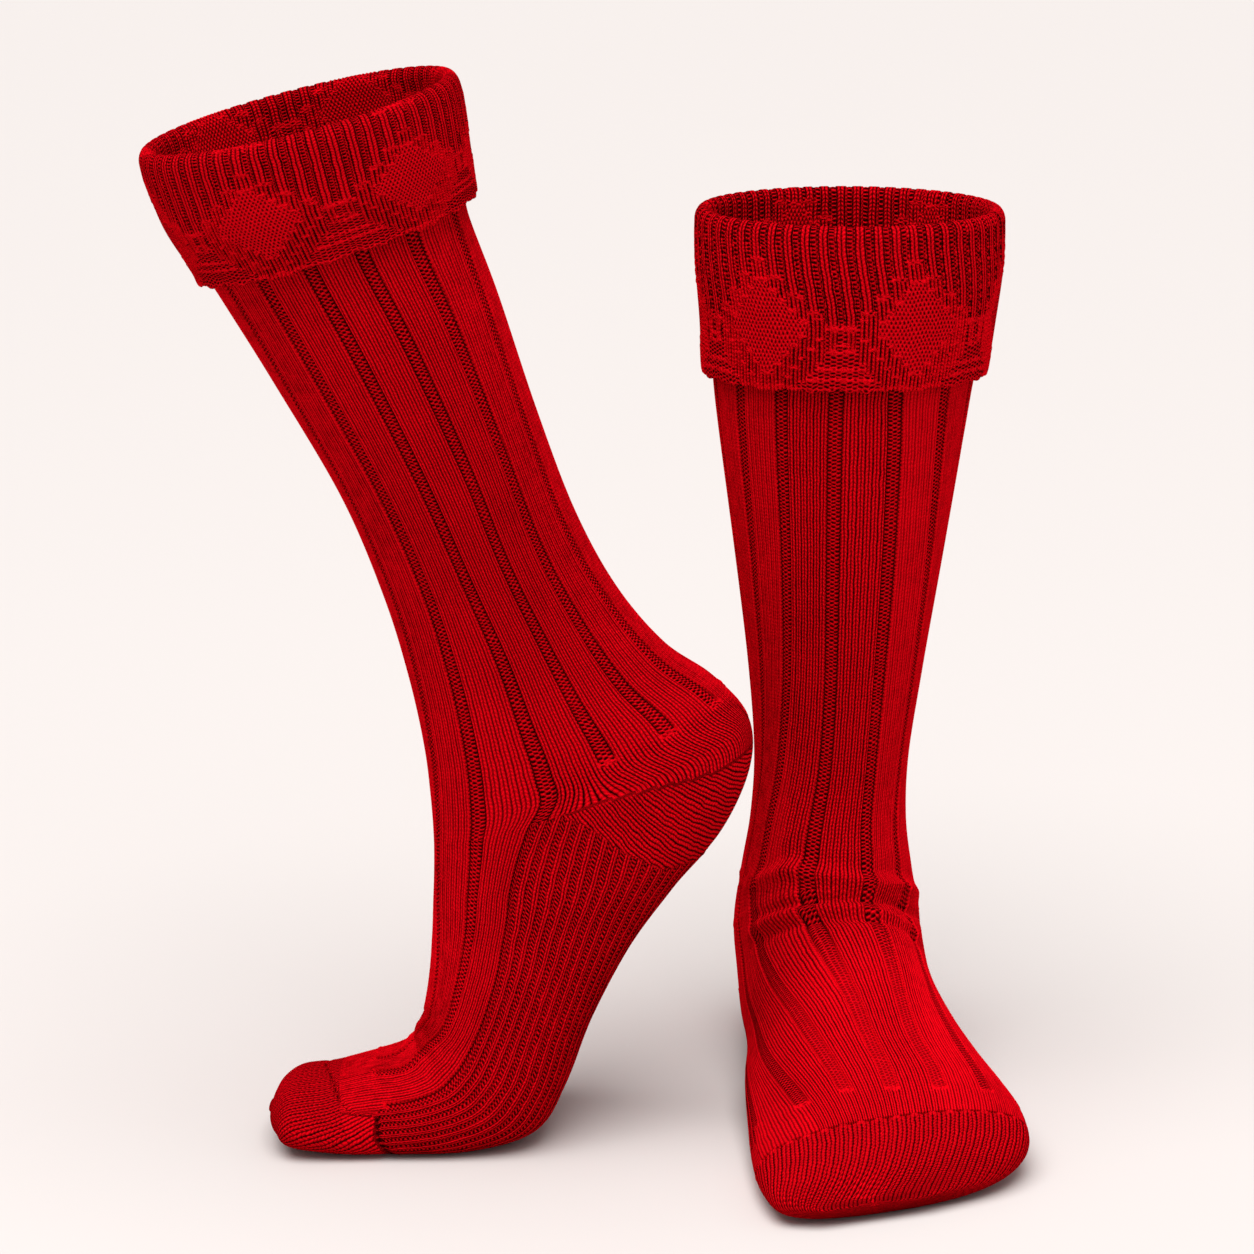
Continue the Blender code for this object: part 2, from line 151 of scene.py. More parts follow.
# Where the purl channels run down the leg: section, then the channels' ways round.
FLAT_LEG_LINES = (
    (2, -4.7, -2.9, -1, 1, 3.1, 5),
    (3, -4.75, -2.95, -1, 1.05, 3.2, 5.1),
    (4, -4.85, -3, -1.02, 1.2, 3.35, 5.25),
    (5, -4.95, -3.1, -1.05, 1.35, 3.75, 5.6),
    (6, -5.2, -3.4, -1.05, 1.35, 3.85, 5.75),
    (7, -5.8, -3.95, -1.15, 1.3, 3.6, 5.5),
    (8, -6.6, -4.6, -1.45, 1.1, 3.05, 5.2),
    (9, -7.1, -5, -1.65, 0.95, 2.75, 5.2),
    (9.5, -7.3, -5.3, -1.62, 0.82, 2.65, 5.2),
)
RAISED_LEG_LINES = (
    (2, 0.3, 2.2, 3.95, 5.7, 7.45, 9.3, 11.7, 13.7),
    (3, 0.2, 2.15, 3.95, 5.75, 7.5, 9.3, 11.7, 13.7),
    (4, 0, 1.92, 3.95, 5.78, 7.6, 9.38, 11.5, 13.6),
    (5, -0.2, 1.7, 3.95, 5.8, 7.7, 9.45, 11.4, 13.6),
    (6, -0.3, 1.6, 3.92, 5.9, 7.8, 9.6, 11.55, 13.7),
    (7, -0.6, 1.35, 3.6, 6, 8, 9.9, 11.95, 13.9),
    (8, -0.9, 1.05, 3.2, 5.75, 7.95, 10, 12.1, 14.1),
    (9, -1.25, 0.75, 2.75, 5.4, 7.65, 10, 12.2, 14.2),
    (9.6, -1.4, 0.6, 2.55, 5.2, 7.6, 10, 12.25, 14.2),
    (10, -1.5, 0.5, 2.4, 4.62, 7.7, 10.15, 12.4, 14.3),
)
# The same on the foot, between the first sole rib of one side and that of the other.
FLAT_FOOT_LINES = (
    (9, -9.2, -7.1, -5, -1.65, 0.95, 2.75, 5.3),
    (9.5, -9.3, -7.3, -5.3, -1.62, 0.82, 2.65, 5.2),
    (10, -9.2, -7.2, -5.1, -1.55, 0.7, 2.6, 5.2),
    (11, -9, -7, -4.7, -1.2, 0.9, 2.8, 5.4),
    (12, -8.7, -6.7, -3.8, -0.85, 1.15, 3.1, 5.6),
    (13, -8.2, -6, -3.1, -0.6, 1.3, 3.2, 5.8),
    (14, -7.4, -5.2, -2.6, -0.4, 1.5, 3.75, 6),
    (15, -6.8, -4.2, -2.15, -0.15, 1.95, 4.2, 6.2),
    (16, -6.5, -3.6, -1.8, 0.05, 2.2, 4.5, 6.4),
    (17, -6.3, -3.5, -1.7, 0.1, 2.3, 4.6, 6.5),
)
RAISED_FOOT_LINES = (
    (9, -5.2, -3.2, -1.25, 0.75, 2.75, 5.4),
    (9.6, -5.2, -3.3, -1.4, 0.6, 2.55, 5.2),
    (10, -5.1, -3.4, -1.5, 0.5, 2.4, 4.62),
    (10.5, -4.9, -3.4, -1.5, 0.46, 2.34, 4.25),
    (11.5, -4.7, -3.3, -1.5, 0.5, 2.35, 3.98),
    (12.9, -4.8, -3, -1.1, 0.9, 2.72, 4.48),
    (13.8, -4.9, -2.9, -1, 1.05, 2.92, 4.9),
    (14.7, -5, -2.9, -1.05, 1, 2.93, 5.04),
    (15.2, -5, -3.2, -1.35, 0.6, 2.7, 5),
    (15.6, -4.9, -3.5, -1.8, 0.15, 2.2, 4.93),
    (16, -4.8, -3.6, -2.1, -0.2, 1.85, 4.85),
    (16.5, -4.8, -3.7, -2.4, -0.55, 1.45, 4.7),
    (17.3, -4.7, -3.6, -2.2, -0.4, 1.55, 4.62),
    (18, -4.7, -3.5, -2.2, -0.5, 1.45, 4.7),
    (18.8, -4.7, -3.5, -2.4, -1, 0.9, 4.8),
    (20.1, -4.8, -3.5, -2.4, -1, 0.8, 4.9),
)
# Folds across the ankle or toe bend: crest as (way round, section); height and half width in sections.
FLAT_CREASES = (
    (((-8, 9.6), (-6.3, 9.4), (-2.5, 8.85), (0, 9.1), (1.5, 9.3), (4, 9.55), (7, 9.8)), 3, 0.2),
    (((-7, 10.6), (-5, 10.4), (-1.5, 10), (0.5, 10.1), (2, 10.7), (5, 11.2)), 2.4, 0.2),
    (((-6, 10.9), (-3, 10.6), (-1, 10.4), (1, 10.5), (3, 11.1), (5, 11.6)), -2.2, 0.17),
    (((-6, 10.1), (-4, 10.05), (-2, 9.75), (0, 9.65), (1.5, 9.8), (3, 10.15), (6, 10.4)), -3, 0.17),
    (((-6, 8.7), (-4, 8.85), (-2.5, 8.5), (0, 8.75), (2, 8.95), (5, 9.2)), -1, 0.16),
)
RAISED_CREASES = (
    (((-4, 15.4), (-0.6, 15.35), (0.9, 15), (2.5, 14.8)), -0.8, 0.14),
    (((-4, 16.2), (0, 16.1), (1.5, 15.9), (4, 15.8)), 0.7, 0.25),
    (((-4, 17.9), (0, 17.7), (1, 17.7), (3, 17.6)), -0.6, 0.12),
    (((-4, 16.9), (0, 16.9), (3, 16.8)), 0.6, 0.22),
)


def inset(row, by):
    """The same section drawn in by so many millimetres all round, as the solids have it."""
    fx, fz, bx, bz, half, *rest = row
    share = by / math.hypot(fx - bx, fz - bz)
    x, z = (fx - bx) * share, (fz - bz) * share
    return (fx - x, fz - z, bx + x, bz + z, half - by, *rest)


# turn and place set a sock in the shared frame, in degrees and millimetres. ankle_seam, toe_seam and tip
# are sections. These are lines across the sock, as (way round, section): leg_ends and foot_ends, where a
# channel stops, sole_starts and sole_stops, where a rib under the sole begins and ends on either side, gore,
# beside the heel, and toe_line, where the toe begins. leg_brushed_and_lit and foot_brushed_and_lit are
# (way round, share): how far the ropes are smoothed and their painted groove shade is evened out towards a
# middle tone, which is painted light, where 0 shows every rope. toe_slant leans the toe's wales,
# channel_keep is what is left of a channel's depth down the instep, and worn brightens the instep: painted
# light where light from above falls on its top, with its stretched, paler wool. On the cuff, diamond_way
# turns the diamonds by a part of the way round, rise lifts them by so many rows, and lean leans the ribs
# over them by so many legs.
FLAT = {
    "side": "flat",
    "rows": tuple(inset(row, LEG_INSET) for row in FLAT_CUFF[:3]) + FLAT_ROWS,
    "cuff": FLAT_CUFF,
    "turn": -83, "place": (104.5, 78), "ankle_seam": 9.38, "toe_seam": 16.3, "tip": 19,
    "leg_lines": FLAT_LEG_LINES,
    "leg_ends": ((6, 99), (6.2, 9.2), (21.5, 9.2), (21.7, 99)),
    "foot_lines": FLAT_FOOT_LINES,
    "foot_ends": ((-8, 15.3), (-4, 15.45), (-2.2, 15.35), (0, 15.5), (2, 15.6), (4.4, 15.6), (6, 15.6)),
    "sole_starts": (
        (5, 9.9), (5.5, 10), (6, 10.2), (7, 10.7), (8, 11.1), (9.5, 11.6), (11.5, 11.9), (14, 11.9),
    ),
    "sole_stops": ((5, 15.6), (14, 15.9)),
    "creases": FLAT_CREASES,
    "toe_line": ((-14, 16.3), (14, 16.3)),
    "leg_brushed_and_lit": ((-14, 0.8), (-3.3, 0.75), (-2.9, 0.12), (1, 0.12), (1.4, 0.75), (14, 0.8)),
    "foot_brushed_and_lit": (
        (-14, 0.4), (-6, 0.7), (-4, 0.45), (-2, 0.3), (1.5, 0.2), (2.5, 0.6), (7, 0.7), (14, 0.4),
    ),
    "gore": ((5.5, 9.9), (8, 10.1)),
    "toe_slant": 0, "channel_keep": 0.55, "worn": 1, "diamond_way": 0.05, "rise": 1.5, "lean": 2.5,
}
RAISED = {
    "side": "raised",
    "rows": tuple(inset(row, LEG_INSET) for row in RAISED_CUFF[:3]) + RAISED_ROWS,
    "cuff": RAISED_CUFF,
    "turn": 188, "place": (-48.5, -22), "ankle_seam": 10, "toe_seam": 19.7, "tip": 24,
    "leg_lines": RAISED_LEG_LINES,
    "leg_ends": ((6.4, 99), (6.6, 9.25), (9, 9.3), (22, 9.3), (22.5, 99)),
    "foot_lines": RAISED_FOOT_LINES,
    "foot_ends": ((-6, 18.6), (0.5, 18.7), (3, 18.7), (6, 18.7)),
    "sole_starts": (
        (4.5, 9.5), (5.2, 9.95), (5.5, 10.1), (6, 10.35), (6.5, 10.7), (7, 11.05), (7.4, 11.3),
        (8.1, 11.6), (8.7, 11.8), (9.5, 12.1), (10, 12.2), (11.5, 12.35), (14, 12.35),
    ),
    "sole_stops": ((4.7, 18.9), (6.8, 19.2), (14, 19.3)),
    "creases": RAISED_CREASES,
    "toe_line": (
        (-14, 19.7), (-8, 20.1), (-3.8, 20.3), (0.5, 19.9), (3.3, 19.7), (4.9, 19.45),
        (5.1, 19.2), (5.25, 18.95), (6.1, 19.05), (7, 19.15), (14, 19.2),
    ),
    "leg_brushed_and_lit": ((-14, 0.6), (-0.5, 0.75), (0.8, 0.6), (4, 0.4), (8, 0.35), (14, 0.6)),
    "foot_brushed_and_lit": ((-14, 0.4), (0, 0.6), (2, 0.5), (4, 0.4), (6, 0.1), (14, 0.1)),
    "gore": ((5.4, 9.99), (6.9, 10.05), (8.4, 10.19), (9.8, 10.38), (10.9, 10.5), (12, 10.52)),
    "toe_slant": 0.32, "channel_keep": 1, "worn": 0.15, "diamond_way": 0.01, "rise": 5, "lean": 0,
}


def sections(rows, at):
    """Catmull-Rom values of the table at the given section numbers."""
    table = np.array(rows, float)
    ends = np.vstack([2 * table[0] - table[1], table, 2 * table[-1] - table[-2]])
    at = np.clip(at, 0.0, len(table) - 1.0)
    k = np.minimum(at.astype(int), len(table) - 2)
    t = (at - k)[:, None]
    a, b, c, d = ends[k], ends[k + 1], ends[k + 2], ends[k + 3]
    return 0.5 * (2 * b + (c - a) * t + (2 * a - 5 * b + 4 * c - d) * t**2 + (3 * b - a - 3 * c + d) * t**3)


def tube(rows, at, ways):
    """Points of the plain tube, (rings, columns, 3) in millimetres.

    A ring is a superellipse through the section's front and back ends, and ways are parts of the way round
    it, measured along itself from its front.
    """
    turn = np.linspace(0.0, math.tau, RING_STEPS + 1)
    c, s = np.cos(turn), np.sin(turn)
    fx, fz, bx, bz, half, side, egg, square, skew = sections(rows, at).T[:, :, None]
    along = np.sign(c) * np.abs(c) ** (2 / square)
    across = np.sign(s) * np.abs(s) ** (2 / square) * half * (1 - egg * along)
    reach_x, reach_z = (fx - bx) / 2, (fz - bz) / 2
    size = np.hypot(reach_x, reach_z)
    x = (fx + bx) / 2 + along * reach_x + skew * across * reach_z / size
    z = (fz + bz) / 2 + along * reach_z - skew * across * reach_x / size
    y = side + across
    steps = np.sqrt(np.diff(x, axis=1) ** 2 + np.diff(y, axis=1) ** 2 + np.diff(z, axis=1) ** 2)
    length = np.hstack([np.zeros((len(x), 1)), np.cumsum(steps, axis=1)])
    length /= length[:, -1:]
    ring = 2.0 * np.arange(len(x))[:, None]
    known, wanted = (length + ring).ravel(), np.mod(ways, 1.0) + ring
    return np.stack([np.interp(wanted, known, part.ravel()) for part in (x, y, z)], axis=2)


def outward(rows, at, ways):
    """Unit normals of the plain tube: the step down the sock crossed with the step round it."""
    by_section, by_way = 0.02, 0.004
    down = tube(rows, at + by_section, ways) - tube(rows, at - by_section, ways)
    across = tube(rows, at, ways + by_way) - tube(rows, at, ways - by_way)
    normal = np.cross(down, across)
    return normal / np.linalg.norm(normal, axis=2)[:, :, None]


def mean_lengths(path):
    """Distance of every ring from the first, on the mean of its columns."""
    steps = np.linalg.norm(np.diff(path, axis=0), axis=2).mean(axis=1)
    return np.r_[0.0, np.cumsum(steps)]


def even_rings(rows, start, end, count):
    """Section numbers from start to end whose rings lie at even distances."""
    fine = np.linspace(start, end, 600)
    length = mean_lengths(tube(rows, fine, np.arange(24) / 24))
    return np.interp(np.linspace(0.0, length[-1], count), length, fine)


def follow(table, at):
    """Smooth values of a table of (section, values...): a cubic through them with central slopes."""
    table = np.array(table, float)
    knots, values = table[:, 0], table[:, 1:]
    slope = np.gradient(values, knots, axis=0)
    k = np.clip(np.searchsorted(knots, at) - 1, 0, len(knots) - 2)
    h = (knots[k + 1] - knots[k])[:, None]
    t = np.clip((at - knots[k])[:, None] / h, 0.0, 1.0)
    a, b, p, q = values[k], values[k + 1], slope[k] * h, slope[k + 1] * h
    return a + p * t + (3 * (b - a) - 2 * p - q) * t**2 + (2 * (a - b) + p + q) * t**3


def marked(table, ways):
    """Values of a table of (way round, value) at the given ways, on straight lines between its rows."""
    return np.interp(ways, *zip(*table))


def step(value, low, high):
    """0 below low, 1 above high and an eased slope between them."""
    t = np.clip((value - low) / (high - low), 0.0, 1.0)
    return t * t * (3.0 - 2.0 * t)


def past(height, line):
    """0 above a line across the sock, 1 past it and a short eased slope between them."""
    return step(height, line - 0.02, line + 0.03)


def hump(away, width):
    """A rounded ridge, 1 where away is 0 and gone at about twice the width."""
    return np.exp(-((away / width) ** 2))


def from_front(ways):
    """Ways round counted both ways from the front, -14 to 14."""
    return np.mod(ways + WAYS / 2, WAYS) - WAYS / 2


def down_lengths(points):
    """Distance of every point from the first ring, along its own column."""
    steps = np.linalg.norm(np.diff(points, axis=0), axis=2)
    return np.vstack([np.zeros((1, points.shape[1])), np.cumsum(steps, axis=0)])


def creases(spec, at, ways):
    """Height of the folds: rounded ridges or troughs along lines (way round, section) across the front."""
    total = np.zeros(ways.shape)
    near = np.where(ways > WAYS / 2, ways - WAYS, ways)
    for line, height, width in spec["creases"]:
        crest = marked(line, near)
        first, last = line[0][0], line[-1][0]
        middle, reach = (first + last) / 2, (last - first) / 2
        fade = 1 - step(np.abs(near - middle) / reach, 0.4, 0.98)
        total += height * fade * hump(at[:, None] - crest, width)
    return total


def channel(part):
    """Height across one panel, part 0 to 1 from one channel's middle to the next.

    It is a low purl channel between two creases, an edge rope beside each crease and a crowned middle.
    """
    legs = np.minimum(part, 1 - part) * PANEL_LEGS
    crease = PURL_LEGS / 2
    low = np.where(legs < crease, -0.25 - 0.08 * legs * legs, -1.2)
    high = PLAIN_RISE + 0.25 * hump(legs - crease - 1.0, 0.8) + 0.15 * step(legs, 3.0, 8.0)
    return np.where(legs > crease + 0.25, high, low)


# Two columns of the mesh for every leg of a panel.
PANEL_PARTS = np.arange(2 * PANEL_LEGS) / (2.0 * PANEL_LEGS)


def rope(legs):
    """Height of the ropes over their grooves: a deep groove at even legs, a shallow one at odd ones."""
    return 0.16 * np.cos(math.tau * (legs - 0.5)) - 0.12 * np.cos(math.pi * legs)


def slide(at, ways):
    """How far the wales have moved back round the heel pocket, in legs, at every ring and column."""
    front = from_front(ways)
    beside = np.abs(front)
    inside = step(beside, 5.7, 8.2) * (1 - step(beside, 12.0, 13.6))
    most = 4.0
    return np.sign(front) * most * step(at[:, None], 9.3, 10.3) * inside


def closed_lines(lines, at):
    """All 14 channels at each section: the ones in the table, and the rest evenly spread behind them."""
    seen = follow(lines, at)
    rest = PANELS - seen.shape[1]
    share = np.arange(1, rest + 1) / (rest + 1)
    back = seen[:, -1:] + (seen[:, :1] + WAYS - seen[:, -1:]) * share
    return np.hstack([seen, back, seen[:, :1] + WAYS])


def panel_columns(lines):
    """The part of its panel, the wale and the ways round of every column between the channels."""
    count = lines.shape[1] - 1
    part = np.tile(PANEL_PARTS, count)
    panel = np.repeat(np.arange(count), len(PANEL_PARTS))
    return part, PANEL_LEGS * (panel + part), lines[:, panel] + np.diff(lines, axis=1)[:, panel] * part


def leg_grid(spec, count):
    """The leg's outside in columns that follow the channels.

    The answer is its sections, parts of the way round, wales, values for the finish, relief and the legs of
    a whole ring, as for the foot and the toe.
    """
    at = even_rings(spec["rows"], 0.06, spec["ankle_seam"], count)
    part, wales, ways = panel_columns(closed_lines(spec["leg_lines"], at))
    middle = np.minimum(part, 1 - part)
    front, height = from_front(ways), at[:, None]
    stop = marked(spec["leg_ends"], np.mod(ways, WAYS))
    here = 1 - past(height, stop)
    relief = PLAIN_RISE + (channel(part) - PLAIN_RISE) * here
    bar = hump(height - stop + LINE, LINE) * (middle < STOP_PART)
    purl = here * (middle < PURL_PART)
    moved = slide(at, ways)
    relief = relief + 0.5 * bar + rope(wales) * (1 - purl) * (1 - step(np.abs(moved), 0.0, 0.4))
    pocket = step(height, 9.0, 9.4) * (np.abs(front) > 5.5)
    values = {
        "face": 1 - purl,
        "ridge": 0.8 * bar,
        # Brushed share: smoother ropes, and painted light that evens out their painted groove shade.
        "brushed": marked(spec["leg_brushed_and_lit"], front) * (1 - pocket),
    }
    return at, ways / WAYS, wales - moved, values, relief, PANEL_LEGS * PANELS


def foot_grid(spec, count):
    """The foot's outside, with the instep's panels, the plain heel pocket and the ribs under the sole."""
    at = even_rings(spec["rows"], spec["ankle_seam"], spec["toe_seam"], count)
    lines = follow(spec["foot_lines"], at)
    part, wales, instep = panel_columns(lines)
    instep_legs = PANEL_LEGS * (lines.shape[1] - 1)
    rib = np.arange(SOLE_RIBS * RIB_COLUMNS) / RIB_COLUMNS
    around = lines[:, :1] + WAYS - lines[:, -1:]
    sole = lines[:, -1:] + around * rib / SOLE_RIBS
    ways = np.hstack([instep, sole])

    def across(on_instep, under=0.0):
        """One value a column, for the instep's columns and for those under the sole."""
        return np.r_[on_instep, np.broadcast_to(under, rib.shape)]

    front, height = from_front(ways), at[:, None]
    beside = np.abs(front)
    starts, stops = marked(spec["sole_starts"], beside), marked(spec["sole_stops"], beside)
    on_sole = np.arange(ways.shape[1]) >= len(part)
    ribbed = past(height, starts) * (1 - past(height, stops)) * on_sole

    # The instep's channels, each closed by a bar.
    stop = marked(spec["foot_ends"], front)
    here = (1 - past(height, stop)) * ~on_sole
    middle = across(np.minimum(part, 1 - part))
    keep = 1 - (1 - spec["channel_keep"]) * step(height, 10.5, 12.5)
    relief = PLAIN_RISE + (across(channel(part)) - PLAIN_RISE) * here * keep
    bar = hump(height - stop + 0.04, LINE) * (middle < STOP_PART) * ~on_sole * (height < stop + 0.06)
    relief = relief + 0.45 * bar

    # The ribs under the sole, with a raised start.
    wave = -np.cos(math.tau * across(0.0 * part, rib))
    relief = relief * (1 - ribbed) + np.clip(1.5 * wave, -1.0, 1.0) * 0.5 * ribbed
    relief = relief + 0.3 * hump(height - starts, LINE) * on_sole * ribbed

    # The gore's line, and the plain cup of the heel between it and the ribs.
    gore = marked(spec["gore"], beside)
    along = step(beside, 5.4, 6.2) * (1 - step(beside, 11.0, 12.5))
    seam = hump(height - gore, 0.045)
    relief = relief + 0.4 * along * seam
    cup = (height > gore) * (height < starts - 0.02) * (beside > 5.5) * on_sole

    face = 1 - here * (middle < PURL_PART) * ~on_sole
    face = face * (1 - ribbed) + ribbed * (wave > 0.0)
    wales = across(wales, instep_legs + RIB_LEGS * rib + 1.0)
    relief = relief + rope(wales) * (face > 0.5) * (1 - ribbed) * ~on_sole
    # Above the gore the leg's wales go on, and beyond the toe's line the toe's begin.
    leg = closed_lines(spec["leg_lines"], np.array([spec["ankle_seam"]]))[0]
    above = np.interp(np.mod(ways - leg[0], WAYS) + leg[0], leg, PANEL_LEGS * np.arange(PANELS + 1.0))
    wales = np.where((height < gore) & on_sole & (beside > 5.2), above - slide(at, ways), wales)
    begin = marked(spec["toe_line"], front)
    toe = (height > begin) & (height > stops) & on_sole
    wales = np.where(toe, toe_wales(spec, at, ways / WAYS)[0], wales)
    groove_shade = hump(height - begin, LINE) * (begin < spec["toe_seam"] + LINE) * (beside < 9.0)
    relief = relief - TOE_GROOVE * groove_shade * (spec["toe_slant"] > 0.0)
    values = {
        "face": face,
        "ridge": np.maximum(0.8 * bar, 0.45 * seam * along * (1 - step(beside, 7.5, 9.5))),
        # Brushed share: smoother ropes, and painted light that evens out their painted groove shade; less in
        # the heel cup, none on the sole's ribs.
        "brushed": marked(spec["foot_brushed_and_lit"], front) * (1 - ribbed) * (1 - 0.6 * cup),
        "turned": 1.0 * cup,
        # Painted light on the instep's top, where light from above falls, with its stretched, paler wool.
        "worn": spec["worn"] * step(height, 10.2, 13.0) * (1 - step(beside, 1.5, 5.0)),
    }
    return at, ways / WAYS, wales, values, relief, instep_legs + RIB_LEGS * SOLE_RIBS


def toe_wales(spec, at, ways):
    """Legs across the toe, a fixed width apart and leaning by the slant, and the legs of whole rings."""
    fine = np.linspace(spec["toe_seam"] - 1.5, spec["tip"], 80)
    path = tube(spec["rows"], fine, np.arange(96) / 96)
    girth = np.linalg.norm(np.roll(path, -1, axis=1) - path, axis=2).sum(axis=1)
    run = np.interp(at, fine, mean_lengths(path))[:, None]
    around = np.interp(at, fine, girth)[:, None]
    side = np.mod(ways + 0.5, 1.0) - 0.5
    return (side * around - spec["toe_slant"] * run) / TOE_LEG, around / TOE_LEG


def toe_grid(spec, count):
    """The toe's outside: plain knit from its line to the last section, in columns from under the sole.

    A toe with straight wales starts with a row of loops, a slanting one with a groove.
    """
    at = even_rings(spec["rows"], spec["toe_seam"], spec["tip"], count)
    ways = np.broadcast_to(0.5 + np.arange(TOE_COLUMNS) / TOE_COLUMNS, (count, TOE_COLUMNS))
    wales, turn_wales = toe_wales(spec, at, ways)
    begin = marked(spec["toe_line"], (np.mod(ways + 0.5, 1.0) - 0.5) * WAYS)
    loops = 0.5 + 0.5 * np.cos(0.5 * math.pi * wales)
    straight = spec["toe_slant"] == 0
    seam = hump(at[:, None] - begin - 0.07, LINE) * straight
    groove_shade = hump(at[:, None] - begin - 0.01, LINE)
    relief = 0.3 + 0.35 * seam * loops - groove_shade * np.where(straight, 1.3 * (1 - loops), TOE_GROOVE)
    plain = np.zeros(ways.shape)
    # The toe's ropes are hardly brushed, and its colour is painted a little brighter: painted light.
    values = {"face": 1.0 + plain, "brushed": 0.05 + plain, "worn": 0.4 * spec["worn"] + plain}
    values["ridge"] = 0.5 * seam * loops
    return at, ways, wales, values, relief, turn_wales


def toe_cap(spec, count):
    """The toe's inner wall from its end up, and its outside down to a few rings that close the tip."""
    rows = spec["rows"]
    at, ways, wales, values, relief, turn_wales = toe_grid(spec, count)
    plain, normal = tube(rows, at, ways), outward(rows, at, ways)
    outer = plain + normal * relief[:, :, None]
    centre = plain[-1].mean(axis=0)
    ahead = (plain[-1] - plain[-3]).mean(axis=0)
    ahead /= np.linalg.norm(ahead)
    turn = np.linspace(0.0, math.pi / 2, 9)[1:-1, None]
    shrunk = np.cos(turn) ** 0.8
    tip = centre + (outer[-1] - centre) * shrunk[:, :, None]
    tip = tip + ahead * (1.5 * np.sin(turn))[:, :, None]
    outer = np.concatenate([outer, tip])
    outer[:, :, 2] = np.maximum(outer[:, :, 2], 0.0)
    pick = np.linspace(0, len(at) - 8, TOE_INNER_RINGS).astype(int)[::-1]
    inner = plain[pick] - normal[pick] * WALL
    inner[:, :, 2] = np.maximum(inner[:, :, 2], WALL)
    lengths = down_lengths(outer)
    courses = np.concatenate([lengths[pick], lengths]) / TOE_COURSE
    wales, turn_wales = (np.concatenate([a[pick], a, a[-1:] * shrunk]) for a in (wales, turn_wales))
    # The depth value drives painted shade in the colour where the toe's groove is deep.
    values = dict(values, depth=relief)
    for key, field in values.items():
        values[key] = np.concatenate([field[pick], field, np.broadcast_to(field[-1], tip.shape[:2])])
    return np.concatenate([inner, outer]), wales, courses, values, turn_wales


def cuff_chart(x, y, rise):
    """Knit (1) or purl (0), height, ridge and woven purl of every point of the diamond repeat.

    x is in legs from where two diamonds meet, y in rows up from the cuff's edge, and the chart sits so many
    rows higher as its rise. Single ribs run down to a stepped line. Under it stepped blocks of plain knit
    frame each diamond of woven purl, and a purl foot with two garter ridges fills the place under each
    meeting.
    """
    near = np.abs(x)
    edge = 0.5 * hump(y - 0.3, 0.8)
    y = y - rise
    block = np.clip(np.round((near - 2.0) / 4.0), 0, 4)
    foot = DIAMOND_ROW + 6.0 * block
    pair = np.abs(near - (2.0 + 4.0 * block))
    above = step(y, foot - 0.3, foot + 0.3)
    rib = above * (pair < 1.3)
    cap = hump(y - foot + 0.2, 0.75) * (pair < 1.7)

    tread = 2.0 * np.floor(near / 2.0) + 1.0
    diamond = 1.75 * (tread - 7.7) - np.abs(y - DIAMOND_ROW)
    inside = step(diamond, -0.5, 0.5) * (1 - above)
    slope = 1.8 * np.maximum(tread - 3.0, 0.0)
    low = 1 - step(y, 11.4 - slope, 12.6 - slope)
    band = (1 - above) * (1 - inside) * (1 - low)
    nub = hump(diamond + 0.6, 0.6) * (1 - above) * (1 - low)
    nub = np.maximum(nub, hump(np.mod(-diamond, 9.0) - 8.6, 0.55) * band)
    plain = np.where((near < 4.0) & (y < DIAMOND_ROW), (np.abs(near - 2.0) < 1.0) * (y > 12.5), 1.0)
    bar = hump(y - DIAMOND_ROW - 0.2, 1.1) * (near < 3.8)
    bar = np.maximum(bar, hump(y - 12.6 - 0.2 * near, 0.7) * (near < 3.4))
    garter = low * (hump(y - 2.6, 0.7) * (near < 9.0) + hump(y - 6.4, 0.7) * (near < 7.0))

    ridge = np.maximum.reduce([0.8 * cap * (1 - inside), nub * (1 - bar), bar, garter, edge])
    ridge = np.clip(ridge, 0, 1)
    knit = np.clip(rib + band * plain, 0.0, 1.0) * (ridge < 0.45)
    legs = np.cos(math.tau * (x - 0.5))
    relief = above * np.where(pair < 1.3, 0.35 + 0.15 * legs, np.where(pair < 1.65, -0.95, -0.45))
    relief = relief + band * np.where(plain > 0.5, -0.1 + 0.65 * legs, -0.4) + 0.25 * inside
    return knit, relief * (1 - 0.6 * ridge) + 0.4 * ridge, ridge, inside * (1 - ridge)


